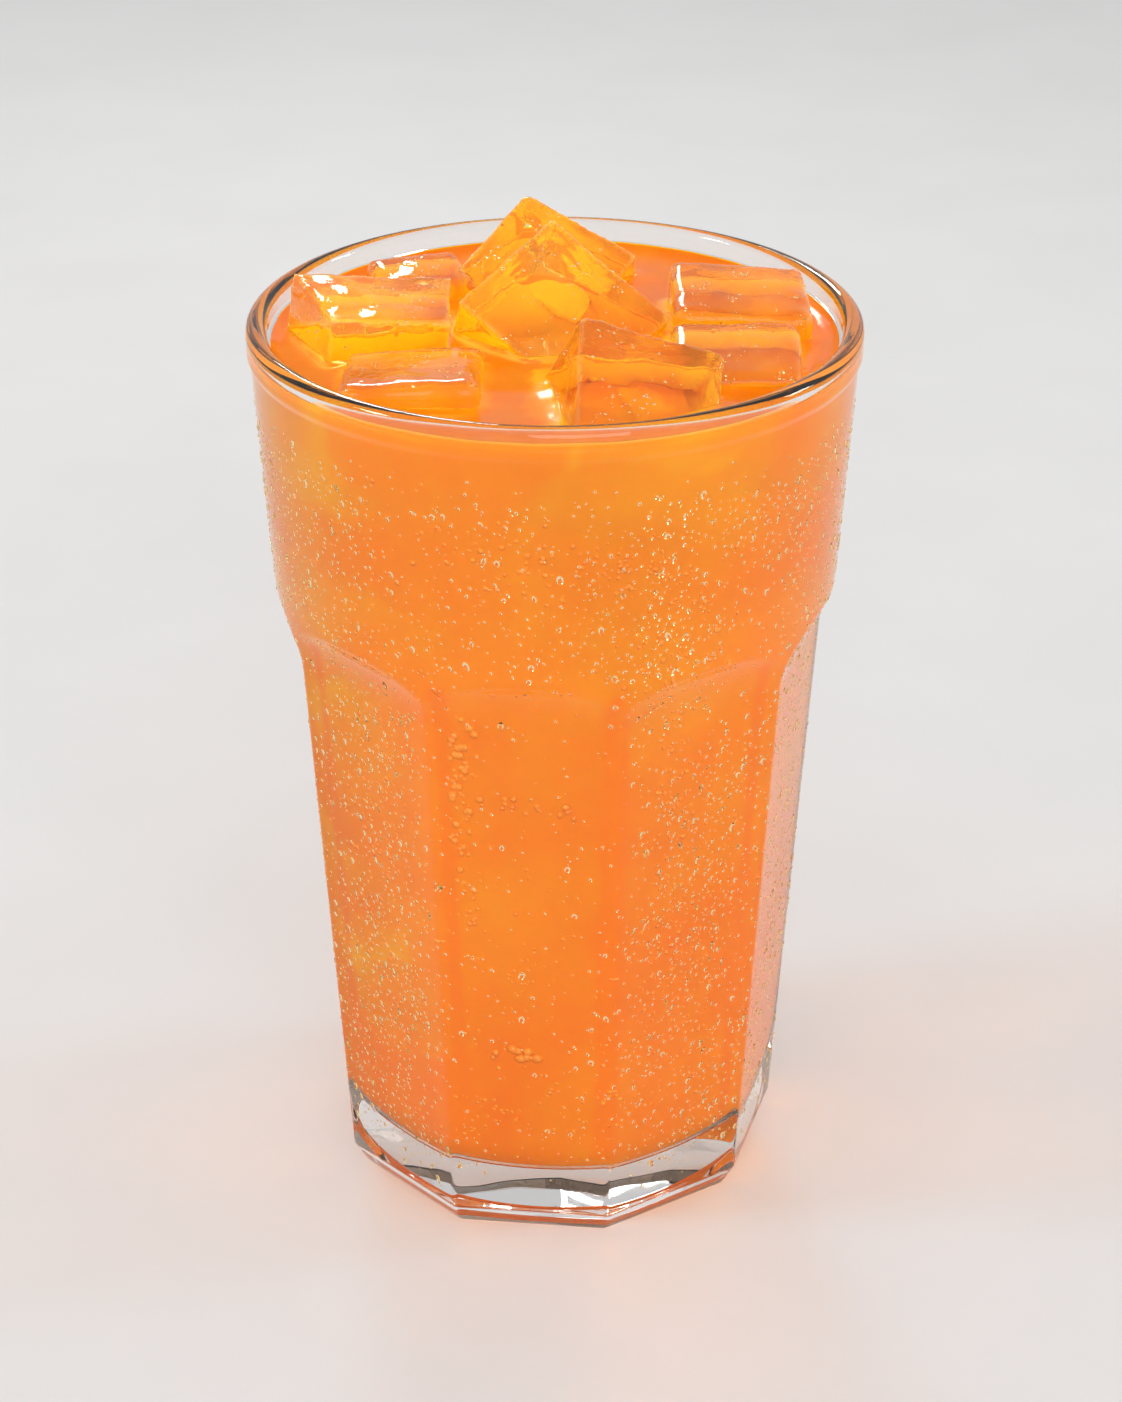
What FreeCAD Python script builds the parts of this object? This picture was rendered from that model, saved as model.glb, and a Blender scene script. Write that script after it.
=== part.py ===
import FreeCAD, Part

import math
import os
import sys

import Sketcher

# Pressed-glass tumbler with nine cut panels, filled with orange soda and ice.
# Millimetres, +Z up. The origin is the centre of the ring foot, on the table.

DIMENSIONS = (
    # Overall sizes of the tumbler
    ("glass_height", 140.0),
    ("rim_radius", 45.2),
    ("base_radius", 36.0),
    # Rim bead
    ("rim_wall", 3.0),
    ("bead_height", 5.0),
    ("bead_overhang", 0.5),
    # Panels pressed into the wall, each ending in an arch below the rim band
    ("panel_count", 9),
    ("panel_turn", 23.5),
    ("panel_inset", 0.95),
    ("panel_top", 89.8),
    ("arch_reach", 10.8),
    ("arch_rise", 14.4),
    ("heel_height", 3.8),
    ("heel_inset", 1.8),
    # Inside of the tumbler
    ("panel_wall", 2.6),
    ("floor_thickness", 9.5),
    ("floor_corner_radius", 6.5),
    # Recess that leaves the ring foot
    ("recess_radius", 25.0),
    ("recess_depth", 1.2),
    # Contents
    ("drink_drop", 4.5),
    ("ice_mouth_radius", 42.2),
    ("ice_edge_radius", 2.6),
    ("ice_wall_gap", 0.4),
    ("ice_headroom", 40.0),
)

# Ice cubes that reach the surface, for a mouth of ice_mouth_radius: in another
# mouth they all grow or shrink with it, so that they still touch each other.
# Each row: name, width, depth, thickness, taper (front edge as a share of the
# back edge), place across and along as a share of the mouth radius, height of
# the centre over the drink, and turns.
ICE_FIELDS = ("width", "depth", "thick", "taper", "across", "along", "rise",
              "yaw", "pitch", "roll")
ICE = (
    ("ice_centre", 23.5, 21.0, 16.5, 1.0, 0.005, 0.125, -1.5, -31.5, 29.5, 25.5),
    ("ice_front", 21.5, 20.5, 20.0, 1.0, 0.235, -0.545, -4.8, 9.0, 19.0, 33.0),
    ("ice_left", 24.0, 16.0, 12.0, 0.72, -0.618, 0.012, 1.0, 13.5, 6.5, 5.5),
    ("ice_right", 20.5, 18.5, 15.0, 1.0, 0.64, 0.205, -1.8, 1.5, 3.5, 5.5),
    ("ice_right_low", 19.0, 17.5, 17.0, 1.0, 0.62, -0.215, -5.4, -1.0, -1.0, 7.5),
    ("ice_front_left", 20.0, 18.5, 18.0, 1.0, -0.475, -0.43, -5.9, -1.5, -2.5, -4.5),
    ("ice_back", 21.0, 18.5, 12.5, 1.0, -0.027, 0.667, -1.7, -29.5, 18.5, 29.0),
    ("ice_back_left", 15.0, 12.0, 17.0, 1.0, -0.50, 0.53, -4.6, 22.0, 3.0, 8.0),
)

NO_LENGTH = 1e-9
NO_VOLUME = 1e-6
# Greatest rounding of an ice cube's edges, as a share of its least side
MOST_ROUNDED = 1 / 3

doc = FreeCAD.newDocument("GlassOfOrangeSoda")
sheet = doc.addObject("Spreadsheet::Sheet", "Dims")


def fill_sheet():
    """Write every driving dimension into the sheet, one row each."""
    rows = [(name, value) for name, value in DIMENSIONS]
    for name, *values in ICE:
        rows += [(f"{name}_{field}", value) for field, value in zip(ICE_FIELDS, values)]
    for row, (name, value) in enumerate(rows, start=1):
        sheet.set(f"A{row}", name)
        sheet.set(f"B{row}", str(value))
        sheet.setAlias(f"B{row}", name)
    doc.recompute()


def size(expression):
    """Number that an expression over the sheet gives now."""
    return float(sheet.evalExpression(expression))


# Expressions that several pieces share. The outer wall is a cone from the base
# to the neck under the bead, and the panels follow its slope.
NECK = "(Dims.rim_radius - Dims.bead_overhang)"
NECK_HEIGHT = "(Dims.glass_height - Dims.bead_height)"
SLOPE = f"(({NECK} - Dims.base_radius) / {NECK_HEIGHT})"
PANEL_COS = "cos(180 deg / Dims.panel_count)"
LIP = "(Dims.rim_wall / 2)"
MOUTH = "(Dims.rim_radius - Dims.rim_wall)"
MOUTH_HEIGHT = f"(Dims.glass_height - {LIP})"
DRINK_LEVEL = "(Dims.glass_height - Dims.drink_drop)"
PANEL_SLOPE = f"({SLOPE} * {PANEL_COS})"
BORE_LEAN = f"atan({PANEL_SLOPE})"
ICE_SCALE = f"({MOUTH} / Dims.ice_mouth_radius)"
CORNER_RUN = f"(Dims.floor_corner_radius * tan((90 deg - {BORE_LEAN}) / 2))"


def panel_reach(height):
    """Distance of a panel's flat from the axis, at a height."""
    return f"((Dims.base_radius - Dims.panel_inset + {SLOPE} * {height}) * {PANEL_COS})"


def bore_reach(height):
    """Inner radius behind the panels, at a height."""
    return f"({panel_reach(height)} - Dims.panel_wall)"


def bore_corners(gap="0"):
    """Inner outline from the mouth down to the axis, moved inwards by a gap."""
    floor = f"(Dims.floor_thickness + {gap})"
    return [
        (f"({MOUTH} - {gap})", MOUTH_HEIGHT),
        (f"({bore_reach('Dims.panel_top')} - {gap})", "Dims.panel_top"),
        (f"({bore_reach(floor)} - {gap} + {CORNER_RUN} * sin({BORE_LEAN}))",
         f"({floor} + {CORNER_RUN} * cos({BORE_LEAN}))"),
        (f"({bore_reach(floor)} - {gap} - {CORNER_RUN})", floor),
        ("0", floor),
    ]


# Bends of the inner outline: its flare joins the straight bore below it, and
# the floor corner leaves that bore. Keys count from the outline's first corner.
BORE_BENDS = {0: "joins", 2: "leaves"}


def bend(start, heading, finish):
    """Arc that leaves start along heading and ends at finish; True if it turns left."""
    chord = finish - start
    across = FreeCAD.Vector(-heading.y, heading.x, 0).normalize()
    radius = chord.dot(chord) / (2 * chord.dot(across))
    centre = start + across * radius
    first = math.atan2(start.y - centre.y, start.x - centre.x)
    last = math.atan2(finish.y - centre.y, finish.x - centre.x)
    left = radius > 0
    if not left:
        first, last = last, first
    if last < first:
        last += 2 * math.pi
    circle = Part.Circle(centre, FreeCAD.Vector(0, 0, 1), abs(radius))
    return Part.ArcOfCircle(circle, first, last), left


def outline(body, name, corners, bends):
    """Closed sketch on the body's XZ plane with every corner bound to the sheet.

    bends maps a segment's number to "leaves" (an arc tangent to the segment
    before it) or "joins" (an arc tangent to the segment after it).
    """
    sketch = body.newObject("Sketcher::SketchObject", name)
    plane = next(item for item in body.Origin.OriginFeatures if item.Role == "XZ_Plane")
    sketch.AttachmentSupport = (plane, [""])
    sketch.MapMode = "FlatFace"
    points = [FreeCAD.Vector(size(across), size(up), 0) for across, up in corners]
    count = len(points)
    ends = []
    for number in range(count):
        start, finish = points[number], points[(number + 1) % count]
        kind = bends.get(number)
        left = True
        if kind == "leaves":
            edge, left = bend(start, start - points[number - 1], finish)
        elif kind == "joins":
            edge, right = bend(finish, finish - points[(number + 2) % count], start)
            left = not right
        else:
            edge = Part.LineSegment(start, finish)
        sketch.addGeometry(edge)
        ends.append((1, 2) if left else (2, 1))
    for number in range(count):
        after = (number + 1) % count
        tangent = bends.get(number) == "joins" or bends.get(after) == "leaves"
        sketch.addConstraint(Sketcher.Constraint(
            "Tangent" if tangent else "Coincident",
            number, ends[number][1], after, ends[after][0]))
    for number, (across, up) in enumerate(corners):
        pin(sketch, number, ends[number][0], "DistanceX", across, -2)
        pin(sketch, number, ends[number][0], "DistanceY", up, -1)
    return sketch


def pin(sketch, edge, end, kind, expression, axis):
    """Hold one coordinate of an edge's end at the value of an expression."""
    value = size(expression)
    if abs(value) < NO_LENGTH:
        sketch.addConstraint(Sketcher.Constraint("PointOnObject", edge, end, axis))
        return
    if value < 0:
        held = Sketcher.Constraint(kind, edge, end, -1, 1, -value)
        expression = f"-({expression})"
    else:
        held = Sketcher.Constraint(kind, -1, 1, edge, end, value)
    number = sketch.addConstraint(held)
    label = f"{kind[-1].lower()}_of_corner_{edge}"
    sketch.renameConstraint(number, label)
    sketch.setExpression(f"Constraints.{label}", expression)


def revolve(body, sketch):
    """Full turn of a sketch about the vertical axis."""
    turned = body.newObject("PartDesign::Revolution", f"{sketch.Name}_turned")
    turned.Profile = sketch
    turned.ReferenceAxis = (sketch, ["V_Axis"])
    turned.Angle = 360
    doc.recompute()
    body.Tip = turned
    return turned


def make_glass():
    """Tumbler: one turned outline, then the panels pocketed around it."""
    body = doc.addObject("PartDesign::Body", "glass")
    body.Label = "glass"
    outside = [
        ("0", "Dims.recess_depth"),
        ("Dims.recess_radius", "Dims.recess_depth"),
        ("(Dims.recess_radius + Dims.recess_depth)", "0"),
        ("Dims.base_radius", "0"),
        (NECK, NECK_HEIGHT),
        ("Dims.rim_radius", f"({NECK_HEIGHT} + Dims.bead_overhang)"),
        ("Dims.rim_radius", MOUTH_HEIGHT),
    ]
    bends = {len(outside) - 1: "leaves"}
    bends.update({len(outside) + key: kind for key, kind in BORE_BENDS.items()})
    wall = outline(body, "glass_section", outside + bore_corners(), bends)
    revolve(body, wall)

    below = "1"
    heel_slope = "(Dims.heel_inset / Dims.heel_height)"
    clear = "(Dims.rim_radius + Dims.arch_reach)"
    arch_out = f"({panel_reach('Dims.panel_top')} + Dims.arch_reach)"
    arch_up = "(Dims.panel_top + Dims.arch_rise)"
    cutter = outline(body, "panel_section", [
        (f"({panel_reach('Dims.heel_height')} - Dims.heel_inset - {below} * {heel_slope})",
         f"(-{below})"),
        (panel_reach("Dims.heel_height"), "Dims.heel_height"),
        (panel_reach("Dims.panel_top"), "Dims.panel_top"),
        (arch_out, arch_up),
        (clear, arch_up),
        (clear, f"(-{below})"),
    ], {2: "leaves"})
    panel = body.newObject("PartDesign::Pocket", "panel_cut")
    panel.Profile = cutter
    panel.SideType = "Symmetric"
    panel.setExpression("Length", "Dims.rim_radius * 2")
    doc.recompute()
    panels = body.newObject("PartDesign::PolarPattern", "panels")
    panels.Originals = [panel]
    axis = next(item for item in body.Origin.OriginFeatures if item.Role == "Z_Axis")
    panels.Axis = (axis, [""])
    panels.Angle = 360
    panels.setExpression("Occurrences", "Dims.panel_count")
    body.Tip = panels
    body.setExpression("Placement", "placement(vector(0; 0; 0); rotation(Dims.panel_turn; 0; 0))")
    return body


def make_bore_filling(name, gap, top=None):
    """Solid that fills the inside of the tumbler, a gap clear of its wall."""
    body = doc.addObject("PartDesign::Body", name)
    corners = bore_corners(gap)
    extra = [] if top is None else [(corners[0][0], top)]
    centre_top = corners[0][1] if top is None else top
    bends = {len(extra) + 1 + key: kind for key, kind in BORE_BENDS.items()}
    section = outline(body, f"{name}_section", [("0", centre_top)] + extra + corners, bends)
    revolve(body, section)
    return body


def make_ice(name, room, neighbours):
    """Ice cube: a rounded wedge, kept inside the tumbler and off its neighbours."""
    def cell(field):
        return f"Dims.{name}_{field}"

    def length(field):
        return f"({cell(field)} * {ICE_SCALE})"

    block = doc.addObject("Part::Wedge", f"{name}_block")
    block.setExpression("Xmin", f"-{length('width')} * {cell('taper')} / 2")
    block.setExpression("Xmax", f"{length('width')} * {cell('taper')} / 2")
    block.setExpression("X2min", f"-{length('width')} / 2")
    block.setExpression("X2max", f"{length('width')} / 2")
    block.setExpression("Ymin", f"-{length('depth')} / 2")
    block.setExpression("Ymax", f"{length('depth')} / 2")
    for low, high in (("Zmin", "Zmax"), ("Z2min", "Z2max")):
        block.setExpression(low, f"-{length('thick')} / 2")
        block.setExpression(high, f"{length('thick')} / 2")
    block.setExpression("Placement", (
        f"placement(vector({MOUTH} * {cell('across')}; {MOUTH} * {cell('along')}; "
        f"{DRINK_LEVEL} + {length('rise')}); "
        f"rotation({cell('yaw')}; {cell('pitch')}; {cell('roll')}))"))
    doc.recompute()

    rounded = doc.addObject("Part::Fillet", f"{name}_rounded")
    rounded.Base = block
    least = min(size(length(field)) for field in ("width", "depth", "thick"))
    radius = min(size(f"Dims.ice_edge_radius * {ICE_SCALE}"), least * MOST_ROUNDED)
    rounded.Edges = [(edge, radius, radius) for edge in range(1, 13)]
    doc.recompute()

    piece = doc.addObject("Part::Common", f"{name}_in_glass")
    piece.Base = rounded
    piece.Tool = room
    doc.recompute()
    for other in neighbours:
        if piece.Shape.common(other.Shape).Volume > NO_VOLUME:
            apart = doc.addObject("Part::Cut", f"{name}_off_{other.Label}")
            apart.Base = piece
            apart.Tool = other
            doc.recompute()
            piece = apart
    piece.Label = name
    return piece


def make_drink(filling, cubes):
    """Drink: the filled bore up to the drink's level, cut round the ice."""
    above = doc.addObject("Part::Cylinder", "above_drink")
    above.setExpression("Radius", "Dims.rim_radius * 2")
    above.setExpression("Height", "Dims.glass_height")
    above.setExpression("Placement.Base.z", DRINK_LEVEL)
    level = doc.addObject("Part::Cut", "drink_level")
    level.Base = filling
    level.Tool = above
    doc.recompute()
    liquid = level
    for cube in cubes:
        cut = doc.addObject("Part::Cut", f"drink_round_{cube.Label}")
        cut.Base = liquid
        cut.Tool = cube
        liquid = cut
    liquid.Label = "drink"
    doc.recompute()
    return liquid


def check(pieces):
    """Stop if any object failed or any sub-part isn't a sound solid."""
    for item in doc.Objects:
        if "Invalid" in item.State or "Error" in item.State:
            sys.exit(f"{item.Label} failed: {item.State}")
    for piece in pieces:
        shape = piece.Shape
        if shape.isNull() or not shape.isValid() or not shape.Solids:
            sys.exit(f"{piece.Label} has no sound shape")
        print(f"{piece.Label}: {len(shape.Solids)} solid, {shape.Volume / 1000:.2f} ml")


def main():
    fill_sheet()
    glass = make_glass()
    filling = make_bore_filling("bore_filling", "0")
    top = "(Dims.glass_height + Dims.ice_headroom)"
    room = make_bore_filling("ice_room", "Dims.ice_wall_gap", top)
    doc.recompute()
    cubes = []
    for name, *_ in ICE:
        cubes.append(make_ice(name, room, list(cubes)))
    drink = make_drink(filling, cubes)
    doc.recompute()
    pieces = [glass, drink] + cubes
    check(pieces)
    os.makedirs("parts", exist_ok=True)
    for piece in pieces:
        piece.Shape.exportStep(os.path.join("parts", f"{piece.Label}.step"))


main()
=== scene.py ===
import math
from collections import namedtuple

import bmesh
import bpy
import numpy as np
from mathutils import Euler, Matrix, Vector, noise
from mathutils.bvhtree import BVHTree


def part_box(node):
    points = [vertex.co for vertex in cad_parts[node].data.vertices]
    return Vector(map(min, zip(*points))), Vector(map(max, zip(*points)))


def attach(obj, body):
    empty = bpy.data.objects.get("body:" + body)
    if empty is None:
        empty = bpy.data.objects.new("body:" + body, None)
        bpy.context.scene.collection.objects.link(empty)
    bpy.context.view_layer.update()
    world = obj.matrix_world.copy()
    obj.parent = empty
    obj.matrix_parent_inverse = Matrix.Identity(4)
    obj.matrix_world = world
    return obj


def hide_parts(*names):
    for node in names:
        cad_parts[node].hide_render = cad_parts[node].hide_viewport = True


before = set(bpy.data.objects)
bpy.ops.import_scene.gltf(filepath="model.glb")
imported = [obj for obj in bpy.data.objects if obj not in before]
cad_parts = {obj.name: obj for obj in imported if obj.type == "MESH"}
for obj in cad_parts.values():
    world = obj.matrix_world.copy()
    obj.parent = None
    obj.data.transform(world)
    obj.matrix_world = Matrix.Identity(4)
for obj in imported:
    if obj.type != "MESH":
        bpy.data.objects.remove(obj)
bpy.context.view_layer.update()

MM = 0.001

# Shape of the tumbler, in millimetres, as the CAD model has it. The overall
# sizes come from the bounding boxes of the CAD parts.
GLASS_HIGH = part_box("glass")[1]
DRINK_LOW, DRINK_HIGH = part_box("drink")
HEIGHT = GLASS_HIGH.z / MM
RIM = GLASS_HIGH.x / MM
LEVEL = DRINK_HIGH.z / MM
FLOOR = DRINK_LOW.z / MM
BASE = 36.0
RIM_WALL = 3.0
BEAD_HEIGHT = 5.0
BEAD_OVERHANG = 0.5
PANELS = 9
PANEL_TURN = math.radians(23.5)
PANEL_INSET = 0.95
PANEL_TOP = 89.8
PANEL_WALL = 2.6
ARCH_REACH = 10.8
ARCH_RISE = 14.4
HEEL_HEIGHT = 3.8
HEEL_INSET = 1.8
FLOOR_CORNER = 6.5
RECESS = 25.0
RECESS_DEPTH = 1.2

HALF_PANEL = math.pi / PANELS
NECK = RIM - BEAD_OVERHANG
NECK_HEIGHT = HEIGHT - BEAD_HEIGHT
SLOPE = (NECK - BASE) / NECK_HEIGHT
PANEL_SLOPE = SLOPE * math.cos(HALF_PANEL)
LEAN = math.atan(PANEL_SLOPE)
ARCH = ((ARCH_REACH**2 + ARCH_RISE**2)
        / (2 * (ARCH_REACH * math.cos(LEAN) - ARCH_RISE * math.sin(LEAN))))
LIP = RIM_WALL / 2
MOUTH = RIM - RIM_WALL
MOUTH_HEIGHT = HEIGHT - LIP

# Edge rounding of the tumbler, in millimetres.
PANEL_EDGE = 0.4
ARCH_EDGE = 0.25
GROOVE = 0.5

# Fineness of its mesh: columns, how far they crowd towards a panel's edge, rings
# under the foot and on the floor, heights of the heel's rows, and counts of rows.
COLUMNS_PER_PANEL = 24
CROWDING = 1.7
FOOT_RINGS = (6, 12, 18)
FLOOR_RINGS = (20.0, 14.0, 8.0, 3.0, 0.0)
HEEL_ROWS = (0.12, 0.35, 0.8, 1.5, 2.3, 3.0, 3.4, 3.65, 3.9, 4.2)
ARCH_END = 103
WALL_ROWS = 40
ARCH_ROWS = 36
BAND_ROWS = 14
GROOVE_ROWS = 7
BEAD_ROWS = 6
LIP_ROWS = 18
BORE_ROWS = 34
CORNER_ROWS = 12

MEAN_RADIUS = 40.0
ICE_NODES = [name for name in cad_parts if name.startswith("ice_")]


# ---------------------------------------------------------------- small tools

def smooth_min(a, b, width):
    """Lesser of two arrays, with the crease between them rounded over a width."""
    blend = np.maximum(width - np.abs(a - b), 0) / width
    return np.minimum(a, b) - blend * blend * width / 4


def new_object(name, points, faces, smooth=True):
    """Mesh object from points in millimetres."""
    mesh = bpy.data.meshes.new(name)
    mesh.from_pydata([tuple(p) for p in np.asarray(points) * MM], [], faces)
    mesh.validate()
    mesh.update()
    if smooth:
        mesh.shade_smooth()
    thing = bpy.data.objects.new(name, mesh)
    bpy.context.scene.collection.objects.link(thing)
    return thing


def push_out(mesh, amount):
    """Move a mesh's points along their normals by an amount, or one each, in millimetres."""
    count = len(mesh.vertices)
    points = np.empty(count * 3)
    normals = np.empty(count * 3)
    mesh.vertices.foreach_get("co", points)
    mesh.vertices.foreach_get("normal", normals)
    shift = np.broadcast_to(np.asarray(amount, float), count).repeat(3)
    mesh.vertices.foreach_set("co", points + normals * shift * MM)
    mesh.update()


def get_points(mesh):
    """A mesh's points as an array of rows, in millimetres."""
    points = np.empty(len(mesh.vertices) * 3)
    mesh.vertices.foreach_get("co", points)
    return points.reshape(-1, 3) / MM


def set_points(mesh, points):
    """Give a mesh new points, in millimetres."""
    mesh.vertices.foreach_set("co", (points * MM).ravel())
    mesh.update()


def object_from(block, name):
    """New object from a bmesh in millimetres, which is used up."""
    block.transform(Matrix.Scale(MM, 4))
    mesh = bpy.data.meshes.new(name)
    block.to_mesh(mesh)
    block.free()
    thing = bpy.data.objects.new(name, mesh)
    bpy.context.scene.collection.objects.link(thing)
    return thing


def apply_modifiers(thing):
    """Replace an object's mesh by what its modifiers make of it."""
    graph = bpy.context.evaluated_depsgraph_get()
    made = bpy.data.meshes.new_from_object(thing.evaluated_get(graph))
    thing.modifiers.clear()
    thing.data = made


def place(piece, slot, *nodes):
    """Put a piece on the body and hide the nodes that it stands for; its finish is not used."""
    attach(piece, "root")
    if nodes:
        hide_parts(*nodes)


# -------------------------------------------------------- shape of the tumbler

def panel_reach(z):
    """Distance of a panel's surface from the axis, far out where it has ended."""
    z = np.asarray(z, float)
    flat = (BASE - PANEL_INSET + SLOPE * z) * math.cos(HALF_PANEL)
    heel = HEEL_INSET * np.clip(1 - z / HEEL_HEIGHT, 0, 1)
    start = (BASE - PANEL_INSET + SLOPE * PANEL_TOP) * math.cos(HALF_PANEL)
    centre_r = start + ARCH * math.cos(LEAN)
    centre_z = PANEL_TOP - ARCH * math.sin(LEAN)
    rise = np.clip(z - centre_z, 0, ARCH)
    arch = centre_r - np.sqrt(np.maximum(ARCH * ARCH - rise * rise, 0))
    return np.where(z > PANEL_TOP, arch, flat - heel)


def outer_reach(angle, z):
    """Radius of the tumbler's outside below the bead, its edges slightly rounded."""
    cone = BASE + SLOPE * z
    off = (angle - PANEL_TURN + HALF_PANEL) % (2 * HALF_PANEL) - HALF_PANEL
    reach = panel_reach(z)
    near = reach / np.cos(off)
    beside = reach / np.cos(2 * HALF_PANEL - np.abs(off))
    return smooth_min(cone, smooth_min(near, beside, PANEL_EDGE), ARCH_EDGE)


def bore_reach(z):
    """Radius of the tumbler's inside above the floor corner."""
    z = np.asarray(z, float)
    straight = (BASE - PANEL_INSET + SLOPE * z) * math.cos(HALF_PANEL) - PANEL_WALL
    start = float((BASE - PANEL_INSET + SLOPE * PANEL_TOP) * math.cos(HALF_PANEL) - PANEL_WALL)
    chord = np.array([MOUTH - start, MOUTH_HEIGHT - PANEL_TOP])
    across = np.array([math.cos(LEAN), -math.sin(LEAN)])
    radius = chord @ chord / (2 * chord @ across)
    centre = np.array([start, PANEL_TOP]) + across * radius
    flare = centre[0] - np.sqrt(np.maximum(radius**2 - (z - centre[1]) ** 2, 0))
    return np.where(z > PANEL_TOP, flare, straight)


def floor_corner(steps):
    """Radius and height along the rounded corner of the inside, from the wall down."""
    wall = float(bore_reach(FLOOR))
    run = FLOOR_CORNER * math.tan((math.pi / 2 - LEAN) / 2)
    centre = (wall - run, FLOOR + FLOOR_CORNER)
    turns = np.linspace(-LEAN, -math.pi / 2, steps)
    return [(centre[0] + FLOOR_CORNER * math.cos(t), centre[1] + FLOOR_CORNER * math.sin(t))
            for t in turns]


def column_angles():
    """Angles of the mesh columns, closer together near the panels' edges."""
    step = np.linspace(-1, 1, COLUMNS_PER_PANEL + 1)[:-1]
    inside = np.sign(step) * (1 - (1 - np.abs(step)) ** CROWDING) * HALF_PANEL
    return np.concatenate([inside + PANEL_TURN + 2 * HALF_PANEL * k for k in range(PANELS)])


def turned(name, rows, angles):
    """Closed mesh from rows of (radius or radii, height), the first and last on the axis."""
    count = len(angles)
    points = [(0.0, 0.0, rows[0][1])]
    for reach, z in rows[1:-1]:
        reach = np.broadcast_to(reach, count)
        height = np.broadcast_to(z, count)
        points += list(zip(reach * np.cos(angles), reach * np.sin(angles), height))
    points.append((0.0, 0.0, rows[-1][1]))
    faces = []
    for k in range(count):
        after = (k + 1) % count
        faces.append((0, 1 + after, 1 + k))
        for row in range(len(rows) - 3):
            low, high = 1 + row * count, 1 + (row + 1) * count
            faces.append((low + k, low + after, high + after, high + k))
        top = 1 + (len(rows) - 3) * count
        faces.append((top + k, top + after, len(points) - 1))
    return new_object(name, points, faces)


def foot_rows(foot):
    """Rows under the foot, from the middle of the recess to the outer edge."""
    edge = RECESS + RECESS_DEPTH
    rows = [(0.0, RECESS_DEPTH)]
    rows += [(r, RECESS_DEPTH) for r in (*FOOT_RINGS, RECESS - 1.2, RECESS - 0.4)]
    rows += [(RECESS + 0.15, RECESS_DEPTH * 0.85), (edge - 0.3, 0.12)]
    rows += [(edge, 0.0), (edge + 0.5, 0.0)]
    rows += [((edge + foot) / 2, 0.0), (foot - 0.5, 0.0), (foot - 0.15, 0.03)]
    return rows


def rim_rows():
    """Rows from the groove under the rim bead over the rounded lip."""
    middle = NECK_HEIGHT + BEAD_OVERHANG / 2
    groove = np.linspace(-0.5, 0.5, GROOVE_ROWS) * math.pi
    over = np.linspace(0, math.pi, LIP_ROWS)[1:-1]
    rows = [(RIM - BEAD_OVERHANG / 2 * (1 - math.sin(t)), middle + GROOVE * math.sin(t))
            for t in groove]
    rows += [(RIM, z) for z in np.linspace(middle + 0.9, MOUTH_HEIGHT, BEAD_ROWS)]
    rows += [(RIM - LIP + LIP * math.cos(t), MOUTH_HEIGHT + LIP * math.sin(t)) for t in over]
    return rows


def inside_rows():
    """Rows from the mouth down the bore and over the floor to its middle."""
    corner = floor_corner(CORNER_ROWS)
    upper = np.linspace(MOUTH_HEIGHT, PANEL_TOP, WALL_ROWS)
    lower = np.linspace(PANEL_TOP, corner[0][1], BORE_ROWS)[1:-1]
    rows = [(float(bore_reach(z)), z) for z in (*upper, *lower)]
    return rows + corner + [(r, FLOOR) for r in FLOOR_RINGS]


def make_glass(material):
    """The whole tumbler as one closed mesh, from under the foot over the rim to the floor."""
    angles = column_angles()
    wall = np.linspace(5.0, PANEL_TOP, WALL_ROWS)
    arch = np.linspace(PANEL_TOP + 0.4, ARCH_END, ARCH_ROWS)
    band = np.linspace(ARCH_END + 1, NECK_HEIGHT - 0.4, BAND_ROWS)
    rows = foot_rows(outer_reach(angles, 0.0))
    rows += [(outer_reach(angles, z), z) for z in (*HEEL_ROWS, *wall, *arch, *band)]
    glass = turned("tumbler", rows + rim_rows() + inside_rows(), angles)
    glass.data.materials.append(material)
    place(glass, "clear_glass", "glass")


# ------------------------------------------------------------------------ ice

# Ice at the surface: edge rounding, gaps, and the voxel and depth of its melted
# skin. A block starts wider than its CAD cube by a spare, and a CAD face counts
# as a flat side from a least area. All in millimetres.
ICE_EDGE = 1.5
ICE_WALL_GAP = 0.4
ICE_GAP = 0.05
ICE_VOXEL = 0.58
ICE_HOLLOWS = 0.9
CORNER_SPARE = 1.2
LEAST_FLAT = 3.0
FLATNESS = 0.05

# Hollows of melted ice: their lengths in millimetres, and shares of the depth.
BROAD_LENGTH = 9.0
FINE_LENGTH = 3.2
BROAD_SHARE = 0.5
FINE_SHARE = 0.2
MELTED_AWAY = 0.02

# Sunk ice: how many cubes, their heights, half their spacing and their sizes.
# The steps push them apart, each by a share of what is missing.
SUNK_COUNT = 14
SUNK_LOW = 40.0
SUNK_HIGH = 121.0
SUNK_SPREAD = 20
SUNK_RADIUS = 10.2
SUNK_PAST_RADIUS = 2.2
SUNK_SIZES = (15.5, 19.5)
SUNK_TURN = 0.8
SUNK_EDGE = 2.4
SUNK_WALL_GAP = 2.0
SUNK_VOXEL = 1.1
SUNK_HOLLOWS = 0.8
SUNK_SEED = 40
PUSH_STEPS = 400
PUSH_SHARE = 0.3


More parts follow.
